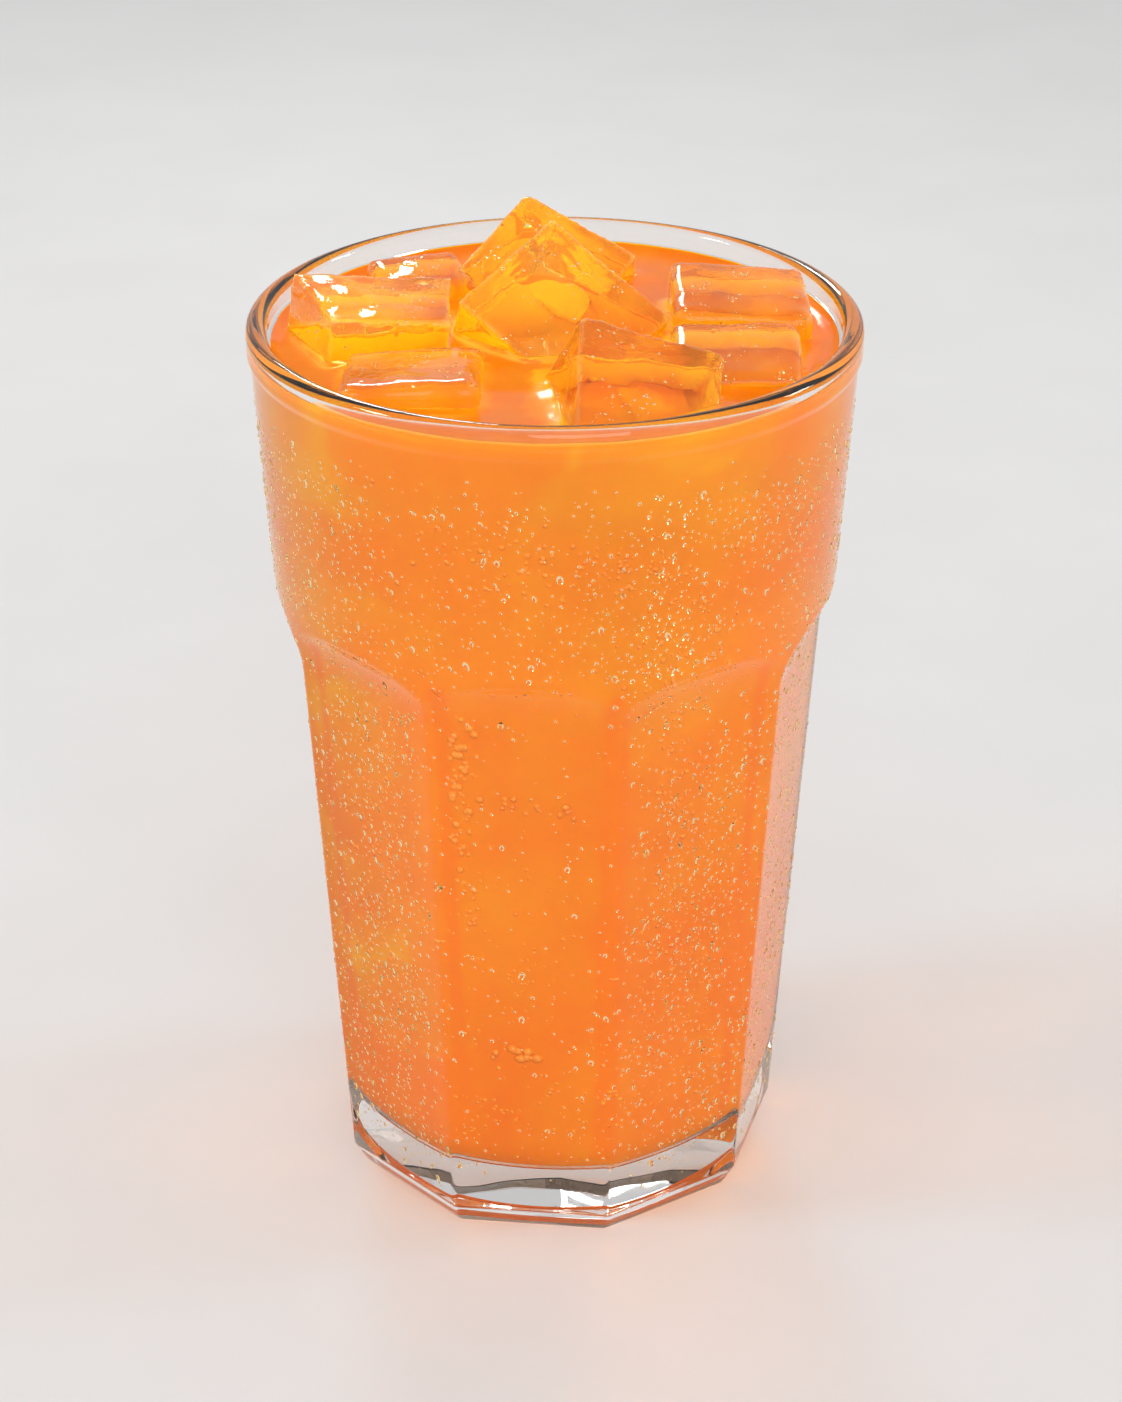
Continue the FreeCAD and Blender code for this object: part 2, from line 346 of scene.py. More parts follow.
def melt(thing, voxel, seed, depth):
    """Remesh a block of ice, soften its edges and give its faces shallow hollows."""
    remesh = thing.modifiers.new("remesh", "REMESH")
    remesh.mode = "VOXEL"
    remesh.voxel_size = voxel * MM
    soften = thing.modifiers.new("soften", "SMOOTH")
    soften.iterations = 1
    soften.factor = 0.5
    apply_modifiers(thing)
    mesh = thing.data
    shift = Vector((seed * 3.7, seed * 1.9, seed * 5.3))
    amounts = []
    for vertex in mesh.vertices:
        spot = vertex.co / MM
        broad = noise.noise(spot / BROAD_LENGTH + shift)
        fine = noise.noise(spot / FINE_LENGTH + shift * 2)
        amounts.append(depth * (BROAD_SHARE * broad + FINE_SHARE * fine - MELTED_AWAY))
    push_out(mesh, amounts)
    mesh.shade_smooth()


def flat_sides(mesh):
    """Outer planes of a block, as (normal, distance) in millimetres, from its flat faces."""
    corners = get_points(mesh)
    planes = []
    for face in mesh.polygons:
        normal = np.array(face.normal)
        distance = normal @ np.array(face.center) / MM
        flat = face.area / MM**2 > LEAST_FLAT
        outermost = (corners @ normal).max() < distance + FLATNESS
        known = any(normal @ other > 0.999 for other, _ in planes)
        if flat and outermost and not known:
            planes.append((normal, distance))
    return planes


def crisp_block(node):
    """Block with the flat sides of a CAD cube but tighter edges, as a new object."""
    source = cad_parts[node].data
    low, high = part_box(node)
    block = bmesh.new()
    bmesh.ops.create_cube(block, size=1.0)
    size = (high - low) / MM + Vector((2, 2, 2)) * CORNER_SPARE
    middle = (high + low) / 2 / MM
    bmesh.ops.scale(block, vec=size, verts=block.verts)
    bmesh.ops.translate(block, vec=middle, verts=block.verts)
    for normal, distance in flat_sides(source):
        every = block.verts[:] + block.edges[:] + block.faces[:]
        bmesh.ops.bisect_plane(block, geom=every, plane_co=normal * distance, plane_no=normal,
                               clear_outer=True)
        rim = [edge for edge in block.edges if edge.is_boundary]
        bmesh.ops.holes_fill(block, edges=rim, sides=0)
    bmesh.ops.recalc_face_normals(block, faces=block.faces[:])
    bmesh.ops.bevel(block, geom=block.edges[:], offset=ICE_EDGE, segments=2, affect="EDGES",
                    profile=0.5, clamp_overlap=True)
    return object_from(block, node.replace("ice_", "cube_"))


def keep_in_bore(mesh, gap):
    """Push what sticks into the wall back, a gap in millimetres off the glass."""
    points = get_points(mesh)
    reach = np.linalg.norm(points[:, :2], axis=1)
    limit = bore_reach(points[:, 2]) - gap
    limit = np.where(points[:, 2] > MOUTH_HEIGHT, MOUTH - gap, limit)
    points[:, :2] *= np.minimum(1, limit / np.maximum(reach, 1e-6))[:, None]
    set_points(mesh, points)


def subtract(thing, other, margin):
    """Cut another object's shape, grown by a margin in millimetres, out of an object."""
    tool = bpy.data.objects.new("tool", other.data.copy())
    push_out(tool.data, margin)
    bpy.context.scene.collection.objects.link(tool)
    cut = thing.modifiers.new("cut", "BOOLEAN")
    cut.operation = "DIFFERENCE"
    cut.solver = "MANIFOLD"
    cut.object = tool
    bpy.context.view_layer.update()
    apply_modifiers(thing)
    bpy.data.objects.remove(tool)


def close_by(thing, other):
    """Whether the bounding boxes of two objects meet."""
    first = get_points(thing.data)
    second = get_points(other.data)
    return bool((first.min(0) < second.max(0)).all() and (second.min(0) < first.max(0)).all())


def make_surface_ice(material):
    """The cubes that stand out of the drink, one piece for each CAD node."""
    cubes = []
    for seed, node in enumerate(ICE_NODES):
        cube = crisp_block(node)
        melt(cube, ICE_VOXEL, seed + 1, ICE_HOLLOWS)
        keep_in_bore(cube.data, ICE_WALL_GAP)
        for other in cubes:
            if close_by(cube, other):
                subtract(cube, other, ICE_GAP)
        cube.data.shade_smooth()
        cube.data.materials.clear()
        cube.data.materials.append(material)
        cubes.append(cube)
    for cube, node in zip(cubes, ICE_NODES):
        place(cube, "ice", node)
    return cubes


def rounded_block(size, edge):
    """Block with rounded edges, centred on the origin, as a bmesh in millimetres."""
    block = bmesh.new()
    bmesh.ops.create_cube(block, size=1.0)
    bmesh.ops.scale(block, vec=size, verts=block.verts)
    bmesh.ops.bevel(block, geom=block.edges[:], offset=edge, segments=3, affect="EDGES",
                    profile=0.5)
    return block


def sunk_places(rng):
    """Centres for sunk cubes, pushed apart from each other, the wall and the top ice."""
    fixed = np.array([np.array(sum(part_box(node), Vector()) / 2) / MM for node in ICE_NODES])
    spots = np.stack([rng.uniform(-SUNK_SPREAD, SUNK_SPREAD, SUNK_COUNT),
                      rng.uniform(-SUNK_SPREAD, SUNK_SPREAD, SUNK_COUNT),
                      np.linspace(SUNK_LOW, SUNK_HIGH, SUNK_COUNT)], 1)
    for _ in range(PUSH_STEPS):
        move = np.zeros_like(spots)
        for others in (spots, fixed):
            apart = spots[:, None] - others[None]
            gap = np.linalg.norm(apart, axis=2)
            push = np.clip(2 * SUNK_RADIUS - gap, 0, None) * (gap > 1e-6)
            away = apart / np.maximum(gap, 1e-6)[..., None]
            move += (away * push[..., None]).sum(1) * PUSH_SHARE
        spots += move
        reach = np.linalg.norm(spots[:, :2], axis=1)
        limit = bore_reach(spots[:, 2]) - SUNK_RADIUS + SUNK_PAST_RADIUS
        spots[:, :2] *= np.minimum(1, limit / np.maximum(reach, 1e-6))[:, None]
        spots[:, 2] = np.clip(spots[:, 2], SUNK_LOW, SUNK_HIGH)
    return spots


def make_sunk_ice(material):
    """Cubes wholly under the drink, joined into one piece."""
    rng = np.random.default_rng(11)
    joined = bmesh.new()
    for spot in sunk_places(rng):
        block = rounded_block(rng.uniform(*SUNK_SIZES, 3), SUNK_EDGE)
        turn = Euler(rng.uniform(-SUNK_TURN, SUNK_TURN, 3)).to_matrix().to_4x4()
        block.transform(Matrix.Translation(Vector(spot)) @ turn)
        holder = bpy.data.meshes.new("block")
        block.to_mesh(holder)
        block.free()
        joined.from_mesh(holder)
        bpy.data.meshes.remove(holder)
    sunk = object_from(joined, "sunk_ice")
    melt(sunk, SUNK_VOXEL, SUNK_SEED, SUNK_HOLLOWS)
    keep_in_bore(sunk.data, SUNK_WALL_GAP)
    sunk.data.materials.append(material)
    place(sunk, "ice")
    return sunk


# ---------------------------------------------------------------------- drink

# How far the drink reaches into the wall, how high it climbs the wall and the ice
# and over what run, how uneven its surface is, and the hollows that hold the ice.
INTO_WALL = 0.25
MENISCUS = 1.6
MENISCUS_RUN = 1.5
ICE_MENISCUS = 0.5
ICE_MENISCUS_RUN = 0.9
RIPPLE = 0.12
RIPPLE_LENGTH = 7.0
WELL_DEPTH = 6.0
WELL_OVERLAP = 0.12
WELL_FLATTENING = 0.97
SKIN_MARGIN = 0.3

# Fineness of its mesh: rings on the floor, rings in from the wall, and counts.
DRINK_FLOOR_RINGS = (0.0, 6.0, 12.0, 18.0)
DRINK_CORNER_ROWS = 10
DRINK_WALL_ROWS = 84
MENISCUS_RINGS = (0.0, 0.25, 0.6, 1.0, 1.5, 2.2, 3.0)
SURFACE_RINGS = 52

# Painted light and shade on the drink's skin: how far ice shows through it as
# painted light, how fast that fades, how strongly a face shows that is turned from
# the painted light, what that light adds to it, and the painted shade in a stripe
# along a panel's edge, which ends some way up the arch.
SIGHT = 22.0
FADING = 8.0
PAINTED_LIGHT_DIRECTION = Vector((-0.55, 0.25, 0.8)).normalized()
DIM_FACE = 0.35
LIT_FACE = 0.95
PAINTED_EDGE_SHADE = 0.5
PAINTED_EDGE_SHADE_WIDTH = 1.1
PAINTED_EDGE_SHADE_END = PANEL_TOP + 6


def tree_of(things):
    """Search tree over several objects' meshes, in millimetres."""
    points, faces = [], []
    for thing in things:
        start = len(points)
        points += [v.co / MM for v in thing.data.vertices]
        faces += [[start + i for i in p.vertices] for p in thing.data.polygons]
    return BVHTree.FromPolygons(points, faces)


def surface_height(x, y, cubes):
    """Height of the drink at a place: it climbs the wall and the ice, and is not quite flat."""
    wall = float(bore_reach(LEVEL)) + INTO_WALL
    rise = MENISCUS * math.exp(-max(wall - math.hypot(x, y), 0) / MENISCUS_RUN)
    spot = Vector((x, y, LEVEL))
    _, _, _, gap = cubes.find_nearest(spot, 8.0)
    if gap is not None:
        rise = max(rise, ICE_MENISCUS * math.exp(-gap / ICE_MENISCUS_RUN))
    ripple = RIPPLE * noise.noise(Vector((x / RIPPLE_LENGTH, y / RIPPLE_LENGTH, 3.1)))
    return LEVEL + rise + ripple


def drink_rows(angles, tree):
    """Rows of the drink's outline, from the floor up the wall and over the surface."""
    wall = float(bore_reach(LEVEL)) + INTO_WALL
    slant = INTO_WALL * 0.7
    rows = [(r, FLOOR - INTO_WALL) for r in DRINK_FLOOR_RINGS]
    rows += [(r + slant, z - slant) for r, z in reversed(floor_corner(DRINK_CORNER_ROWS))]
    heights = np.linspace(rows[-1][1] + 1.5, LEVEL, DRINK_WALL_ROWS)
    rows += [(float(bore_reach(z)) + INTO_WALL, z) for z in heights]
    rings = list(wall - np.array(MENISCUS_RINGS))
    rings += list(np.linspace(wall - 3.8, 1.0, SURFACE_RINGS))
    for r in rings:
        ring = [surface_height(r * math.cos(a), r * math.sin(a), tree) for a in angles]
        rows.append((r, np.array(ring)))
    rows.append((0.0, surface_height(0.0, 0.0, tree)))
    return rows


def lift_bottom(mesh, lowest):
    """Flatten what lies below a height: deeper down, the soda hides the ice."""
    points = get_points(mesh)
    deep = lowest - points[:, 2]
    points[:, 2] += np.where(deep > 0, deep * WELL_FLATTENING, 0)
    set_points(mesh, points)


def give_materials(drink, materials):
    """Skin under the glass, open surface, and hollows round the ice."""
    drink.data.materials.clear()
    for material in materials:
        drink.data.materials.append(material)
    for face in drink.data.polygons:
        spot = face.center / MM
        inside = math.hypot(spot.x, spot.y) < float(bore_reach(spot.z)) - SKIN_MARGIN
        if inside and spot.z > LEVEL - 2 * WELL_DEPTH:
            face.material_index = 1 if spot.z > LEVEL - SKIN_MARGIN else 2


def make_drink(materials, cubes, sunk):
    """The drink: it reaches just into the wall, and is cut round the ice."""
    angles = column_angles()
    drink = turned("soda", drink_rows(angles, tree_of(cubes)), angles)
    for cube in cubes:
        core = bpy.data.objects.new("core", cube.data.copy())
        lift_bottom(core.data, LEVEL - WELL_DEPTH)
        subtract(drink, core, -WELL_OVERLAP)
        bpy.data.objects.remove(core)
    drink.data.shade_smooth()
    # Painted light from the ice behind the skin and painted shade along the panels' edges, kept
    # on the mesh.
    paint_ice_light_and_edge_shade(drink, cubes + [sunk])
    give_materials(drink, materials)
    place(drink, "orange_drink", "drink")


def near_panel_edge(spot):
    """How near a point of the drink's skin is to a panel's edge, 0 to 1, for the painted shade
    there.
    """
    reach = math.hypot(spot.x, spot.y)
    if reach < float(bore_reach(spot.z)) - 0.5 or spot.z > PAINTED_EDGE_SHADE_END:
        return 0.0
    angle = math.atan2(spot.y, spot.x) - PANEL_TURN
    off = abs((angle + HALF_PANEL) % (2 * HALF_PANEL) - HALF_PANEL)
    across = (HALF_PANEL - off) * reach
    return math.exp(-(across / PAINTED_EDGE_SHADE_WIDTH) ** 2)


def paint_ice_light_and_edge_shade(drink, cubes):
    """Mesh attribute of painted light where ice lies just behind the drink's skin, its faces lit
    from a set direction, less painted shade along the panels' edges.
    """
    tree = tree_of(cubes)
    mesh = drink.data
    values = np.zeros(len(mesh.vertices), np.float32)
    for number, vertex in enumerate(mesh.vertices):
        start = vertex.co / MM
        inwards = -vertex.normal
        hit, normal, _, depth = tree.ray_cast(start, inwards, SIGHT)
        # Painted light: ice behind the skin lightens it, more where its face is turned to the
        # painted light direction.
        if hit is not None:
            lit = max(normal.dot(PAINTED_LIGHT_DIRECTION), 0.0)
            values[number] = math.exp(-depth / FADING) * (DIM_FACE + LIT_FACE * lit)
        # Painted shade: a darker stripe along each panel's edge.
        values[number] -= PAINTED_EDGE_SHADE * near_panel_edge(start)
    attribute = mesh.attributes.new("painted_ice_light_and_edge_shade", "FLOAT", "POINT")
    attribute.data.foreach_set("value", values)


# ------------------------------------------------------ droplets and bubbles

# Condensation: sizes in millimetres, caps as sides, rings and contact angle. The
# front panel is nearly dry up to a height and less dry above it, and the rest is
# patchy.
Dew = namedtuple("Dew", "name count spread least greatest cap seed stretch")
DEW = (
    Dew("dew_mist", 7600, 0.62, 0.10, 0.17, (5, 2, 48), 5, 1.3),
    Dew("dew_beads", 6200, 0.72, 0.16, 0.28, (7, 2, 44), 6, 1.6),
    Dew("dew_drops", 1700, 1.4, 0.28, 0.50, (10, 3, 40), 7, 1.8),
)
DEW_BATCH = 4000
DEW_TRIES = 60
DEW_LOW = 6.0
DEW_HIGH = 132.0
DEW_CLEARANCE = 0.008
DRY_RIM = 128.5
DRY_HEEL = 9.0
WIPED_MIDDLE = math.radians(-96.5)
WIPED_HALF = math.radians(27)
WIPED_TOP = 99.0
WIPED_BELOW = 0.88
WIPED_ABOVE = 0.35
EVEN_DEW = 0.72
PATCHY_DEW = 0.9
PATCHES_ACROSS = 2.2
PATCH_HEIGHT = 16
SMALL_DROPS = 1.6

# Gas bubbles scattered over the inside of the wall, besides the clusters below:
# how many, the heights and sizes that they reach, and powers that keep most of
# them low and small.
SCATTERED = 620
SCATTER_HEIGHT = 112
SCATTER_LEAST = 0.14
SCATTER_GROWTH = 0.36
LOW_BUBBLES = 1.3
SMALL_BUBBLES = 2.5
BUBBLE_CAP = (12, 3, 50)
BUBBLE_SHOWS = 0.02
BUBBLES_ABOVE_FLOOR = 7.0
BUBBLES_BELOW_LEVEL = 4.0
BUBBLE_SEED = 21
BORE_RADIUS = 36.0

# Bubbles on the ice: places tried on each cube, the size of their clumps, cap
# shape, clearance and sizes.
FLECKS_TRIED = 2600
FLECK_CLUMP = 4.0
FLECK_CAP = (6, 2, 65)
FLECK_CLEARANCE = 0.01
FLECK_LEAST = 0.08
FLECK_GROWTH = 0.20
FLECK_SEED = 33

def cap(sides, rings, contact):
    """Unit droplet: points and triangles of a closed spherical cap, one unit in radius.

    contact is the angle in degrees at which its edge meets the glass.
    """
    steep = math.radians(contact)
    points = [(0.0, 0.0, (1 - math.cos(steep)) / math.sin(steep))]
    for ring in range(1, rings + 1):
        lean = steep * ring / rings
        for side in range(sides):
            turn = 2 * math.pi * (side + 0.5 * (ring % 2)) / sides
            out = math.sin(lean) / math.sin(steep)
            up = (math.cos(lean) - math.cos(steep)) / math.sin(steep)
            points.append((out * math.cos(turn), out * math.sin(turn), up))
    points.append((0.0, 0.0, 0.0))
    faces = []
    for side in range(sides):
        after = (side + 1) % sides
        faces.append((0, 1 + side, 1 + after))
        for ring in range(rings - 1):
            a, b = 1 + ring * sides + side, 1 + ring * sides + after
            c, d = a + sides, b + sides
            if ring % 2 == 0:
                faces += [(a, c, b), (b, c, d)]
            else:
                faces += [(a, c, d), (a, d, b)]
        last = 1 + (rings - 1) * sides
        faces.append((last + side, len(points) - 1, last + after))
    return np.array(points), np.array(faces)


def scatter(name, spots, normals, sizes, shape, seed, stretch=1.0):
    """Joined mesh of many copies of a shape, one at each spot, turned to its normal."""
    rng = np.random.default_rng(seed)
    points, faces = shape
    normals = normals / np.linalg.norm(normals, axis=1)[:, None]
    down = np.array([0.0, 0.0, -1.0])
    along = down - normals * (normals @ down)[:, None]
    short = np.linalg.norm(along, axis=1) < 1e-3
    along[short] = (1.0, 0.0, 0.0)
    along /= np.linalg.norm(along, axis=1)[:, None]
    across = np.cross(normals, along)
    turn = rng.uniform(-0.5, 0.5, len(spots))
    first = along * np.cos(turn)[:, None] + across * np.sin(turn)[:, None]
    second = np.cross(normals, first)
    tall = sizes * rng.uniform(1.0, stretch, len(spots)) if stretch > 1 else sizes
    wide = sizes * rng.uniform(0.85, 1.1, len(spots))
    made = (spots[:, None] + points[None, :, 0:1] * (first * tall[:, None])[:, None]
            + points[None, :, 1:2] * (second * wide[:, None])[:, None]
            + points[None, :, 2:3] * (normals * sizes[:, None])[:, None])
    every = faces[None] + (np.arange(len(spots)) * len(points))[:, None, None]
    return new_object(name, made.reshape(-1, 3), every.reshape(-1, 3).tolist())


def outer_normals(angle, z):
    """Outward normals of the tumbler's outside."""
    step = 0.05
    turn = step / MEAN_RADIUS
    around = outer_reach(angle + turn, z) - outer_reach(angle - turn, z)
    up = outer_reach(angle, z + step) - outer_reach(angle, z - step)
    slope_a = around / (2 * turn) / outer_reach(angle, z)
    slope_z = up / (2 * step)
    out = np.stack([np.cos(angle) + slope_a * np.sin(angle),
                    np.sin(angle) - slope_a * np.cos(angle), -slope_z], 1)
    return out / np.linalg.norm(out, axis=1)[:, None]


def past(z, edge, softness):
    """Share from 0 to 1 that grows as a height passes an edge."""
    return 1 / (1 + np.exp(-(z - edge) / softness))


def dewiness(angle, z):
    """Share of places that carry a droplet: less on the front panel, rim and heel."""
    front = (angle - WIPED_MIDDLE + math.pi) % (2 * math.pi) - math.pi
    wiped = np.exp(-((front / WIPED_HALF) ** 4))
    upper = past(z, WIPED_TOP, 1.5)
    amount = 1 - WIPED_BELOW * wiped * (1 - upper) - WIPED_ABOVE * wiped * upper
    amount *= 1 - past(z, DRY_RIM, 1.0)
    amount *= past(z, DRY_HEEL, 1.5)
    spots = np.stack([np.cos(angle) * PATCHES_ACROSS, np.sin(angle) * PATCHES_ACROSS,
                      z / PATCH_HEIGHT], 1)
    patch = np.array([noise.noise(Vector(spot)) for spot in spots])
    return np.clip(amount * (EVEN_DEW + PATCHY_DEW * patch), 0, 1)


def is_free(grid, cell, around, height, spread):
    """Whether no droplet in the neighbouring cells is closer than the spread."""
    for i in (-1, 0, 1):
        for j in (-1, 0, 1):
            other = grid.get((cell[0] + i, cell[1] + j))
            if other and (other[0] - around) ** 2 + (other[1] - height) ** 2 < spread**2:
                return False
    return True


def dew_spots(rng, count, spread):
    """Angles and heights where droplets lie, none closer than their spread."""
    grid = {}
    angles, heights = [], []
    for _ in range(DEW_TRIES):
        angle = rng.uniform(0, 2 * math.pi, DEW_BATCH)
        z = rng.uniform(DEW_LOW, DEW_HIGH, DEW_BATCH)
        keep = rng.random(DEW_BATCH) < dewiness(angle, z)
        for a, height in zip(angle[keep], z[keep]):
            around = a * MEAN_RADIUS
            cell = int(around / spread), int(height / spread)
            if is_free(grid, cell, around, height, spread):
                grid[cell] = (around, height)
                angles.append(a)
                heights.append(height)
            if len(angles) == count:
                return np.array(angles), np.array(heights)
    return np.array(angles), np.array(heights)


def make_dew(material):
    """Condensation on the outside: mist, beads and fewer, larger drops."""
    for kind in DEW:
        rng = np.random.default_rng(kind.seed)
        angle, z = dew_spots(rng, kind.count, kind.spread)
        reach = outer_reach(angle, z)
        spots = np.stack([reach * np.cos(angle), reach * np.sin(angle), z], 1)
        normals = outer_normals(angle, z)
        sizes = kind.least + (kind.greatest - kind.least) * rng.random(len(angle)) ** SMALL_DROPS
        drops = scatter(kind.name, spots + normals * DEW_CLEARANCE, normals, sizes,
                        cap(*kind.cap), kind.seed, kind.stretch)
        drops.data.materials.append(material)
        place(drops, "clear_glass")


# Clusters of bubbles that cling to the inside of the glass. Each row: middle in
# degrees round from +X, height, spread across and up in millimetres, count, and
# least and greatest radius.
CLUSTERS = (
    (-112.6, 84.0, 1.1, 5.5, 34, 0.30, 0.78),
    (-113.2, 70.0, 0.8, 6.5, 26, 0.28, 0.62),
    (-110.5, 57.0, 1.0, 4.0, 14, 0.28, 0.55),
    (-98.0, 77.5, 3.2, 0.8, 15, 0.25, 0.60),
    (-88.0, 76.5, 1.2, 0.5, 5, 0.40, 0.75),
    (-100.0, 33.0, 4.5, 0.9, 13, 0.45, 0.95),
    (-97.0, 47.0, 6.0, 5.0, 34, 0.16, 0.34),
    (-108.0, 22.0, 4.0, 3.0, 30, 0.16, 0.40),
    (-84.0, 24.0, 5.0, 4.0, 34, 0.16, 0.42),
    (-62.0, 78.0, 2.0, 9.0, 60, 0.20, 0.48),
    (-58.0, 50.0, 4.0, 9.0, 60, 0.18, 0.45),
    (-140.0, 60.0, 3.5, 14.0, 70, 0.18, 0.46),
    (-75.0, 116.0, 7.0, 3.0, 60, 0.16, 0.42),
    (-95.0, 119.0, 8.0, 3.0, 60, 0.16, 0.50),
    (-60.0, 104.0, 6.0, 5.0, 60, 0.18, 0.50),
    (60.0, 70.0, 4.0, 12.0, 60, 0.18, 0.50),
    (110.0, 50.0, 4.0, 12.0, 60, 0.18, 0.50),
    (170.0, 80.0, 4.0, 10.0, 60, 0.18, 0.50),
    (10.0, 40.0, 4.0, 10.0, 60, 0.18, 0.50),
)


def make_wall_bubbles(material):
    """Gas bubbles that cling to the inside of the glass, scattered and in clusters."""
    rng = np.random.default_rng(BUBBLE_SEED)
    lowest = FLOOR + BUBBLES_ABOVE_FLOOR
    angle = [rng.uniform(0, 2 * math.pi, SCATTERED)]
    z = [lowest + SCATTER_HEIGHT * rng.random(SCATTERED) ** LOW_BUBBLES]
    size = [SCATTER_LEAST + SCATTER_GROWTH * rng.random(SCATTERED) ** SMALL_BUBBLES]
    for middle, height, across, up, count, least, greatest in CLUSTERS:
        angle.append(math.radians(middle) + rng.normal(0, across / BORE_RADIUS, count))
        z.append(height + rng.normal(0, up, count))
        size.append(rng.uniform(least, greatest, count))
    angle, z, size = (np.concatenate(values) for values in (angle, z, size))
    z = np.clip(z, lowest, LEVEL - BUBBLES_BELOW_LEVEL)
    reach = bore_reach(z) + INTO_WALL - BUBBLE_SHOWS
    spots = np.stack([reach * np.cos(angle), reach * np.sin(angle), z], 1)
    normals = np.stack([np.cos(angle), np.sin(angle), np.full_like(z, -SLOPE)], 1)
    bubbles = scatter("wall_bubbles", spots, normals, size, cap(*BUBBLE_CAP), BUBBLE_SEED)
    bubbles.data.materials.append(material)
    place(bubbles, "orange_drink")


def make_flecks(material, cubes):
    """Tiny gas bubbles that sit on the ice above the drink."""
    rng = np.random.default_rng(FLECK_SEED)
    spots, normals = [], []
    for cube in cubes:
        faces = cube.data.polygons
        picked = rng.choice(len(faces), min(FLECKS_TRIED, len(faces)), replace=False)
        for number in picked:
            face = faces[int(number)]
            spot = face.center / MM
            clump = noise.noise(spot / FLECK_CLUMP)
            dry = spot.z > LEVEL + SKIN_MARGIN and face.normal.z > -0.1
            if dry and clump > rng.uniform(-0.1, 0.7):
                spots.append(spot)
                normals.append(face.normal)
    spots, normals = np.array(spots), np.array(normals)
    sizes = FLECK_LEAST + FLECK_GROWTH * rng.random(len(spots)) ** SMALL_BUBBLES
    flecks = scatter("ice_flecks", spots + normals * FLECK_CLEARANCE, normals, sizes,
                     cap(*FLECK_CAP), FLECK_SEED)
    flecks.data.materials.append(material)
    place(flecks, "ice")


# ------------------------------------------------------------------ materials

# Colours run along a tone from 0 to 1, as (tone, colour). The skin is the drink
# behind the glass, the well is a hollow round ice. The lighter tones of the skin and
# surface come partly from painted light; the well is painted lighter and yellower than
# the drink, as painted light, and its tone falls with depth, as painted shade.
SKIN_COLOURS = ((0.0, (1.0, 0.235, 0.0005)), (0.35, (1.0, 0.30, 0.0008)),
                (0.65, (1.0, 0.37, 0.001)), (1.0, (1.0, 0.44, 0.002)))
SURFACE_COLOURS = ((0.0, (0.78, 0.15, 0.0005)), (0.35, (0.84, 0.21, 0.0006)),
                   (0.65, (0.90, 0.29, 0.001)), (1.0, (0.96, 0.42, 0.004)))
WELL_LIGHT_AND_SHADE_COLOURS = ((0.0, (0.66, 0.21, 0.001)), (0.35, (0.88, 0.42, 0.001)),
                (0.65, (0.92, 0.52, 0.002)), (1.0, (0.96, 0.66, 0.006)))
BUBBLE_COLOURS = ((0.0, (0.95, 0.20, 0.002)), (1.0, (1.0, 0.40, 0.01)))
TABLE_COLOURS = ((0.0, (0.64, 0.635, 0.63)), (1.0, (0.70, 0.695, 0.69)))
GLASS_COLOUR = (0.985, 0.995, 0.99)
# The droplets are tinted warm: painted light from the drink behind them.
DEW_PAINTED_DRINK_LIGHT = (1.0, 0.86, 0.5)
# The ice is tinted yellow-orange: painted light from the drink seen through it.
ICE_PAINTED_DRINK_LIGHT = (1.0, 0.93, 0.34)
ICE_CLOUD_PAINTED_DRINK_LIGHT = (1.0, 0.88, 0.30)
SUNK_ICE_COLOUR = (1.0, 0.97, 0.88)
SUNK_ICE_CLOUD = (1.0, 0.92, 0.7)

# What lamps keep of their colour on the way through.
THROUGH_GLASS = (0.96, 0.97, 0.96)
THROUGH_WATER = (0.97, 0.97, 0.97)
THROUGH_DRINK = (0.95, 0.56, 0.07)
THROUGH_BUBBLES = (0.97, 0.8, 0.4)

GLASS_IOR = 1.47
WATER_IOR = 1.33
DRINK_IOR = 1.34
ICE_IOR = 1.31
BUBBLE_IOR = 1.6

# Shares of broad haze, fine haze and the painted light and shade from the mesh attribute in the
# drink's tone.
BROAD_HAZE = 0.75
FINE_HAZE = 0.55
PAINTED_LIGHT_AND_SHADE_SHARE = 0.85


def new_material(name):
    """Node material with its Principled shader; returns material, nodes, links, shader."""
    material = bpy.data.materials.new(name)
    material.use_nodes = True
    nodes, links = material.node_tree.nodes, material.node_tree.links
    return material, nodes, links, nodes["Principled BSDF"]


def set_sockets(node, values):
    """Set a node's own sockets by name."""
    for name, value in values.items():
        node.inputs[name].default_value = value


def object_noise(nodes, links, scale, detail):
    """Noise over the object's own coordinates, scale in repeats a metre; its output."""
    where = nodes.new("ShaderNodeTexCoord")
    texture = nodes.new("ShaderNodeTexNoise")
    set_sockets(texture, {"Scale": scale, "Detail": detail})
    links.new(where.outputs["Object"], texture.inputs["Vector"])
    return texture.outputs["Fac"]


def map_range(nodes, links, source, low, high, to_low=0.0, to_high=1.0, ease="LINEAR"):
    """A number's range mapped to another, clamped at its ends; the output."""
    node = nodes.new("ShaderNodeMapRange")
    node.interpolation_type = ease
    set_sockets(node, {"From Min": low, "From Max": high, "To Min": to_low, "To Max": to_high})
    links.new(source, node.inputs["Value"])
    return node.outputs["Result"]


def colour_ramp(nodes, links, source, stops):
    """Colours along a number, from stops of (position, colour); the output."""
    ramp = nodes.new("ShaderNodeValToRGB")
    elements = ramp.color_ramp.elements
    while len(elements) < len(stops):
        elements.new(0.5)
    for element, (position, colour) in zip(elements, stops):
        element.position = position
        element.color = (*colour, 1)
    links.new(source, ramp.inputs["Fac"])
    return ramp.outputs["Color"]


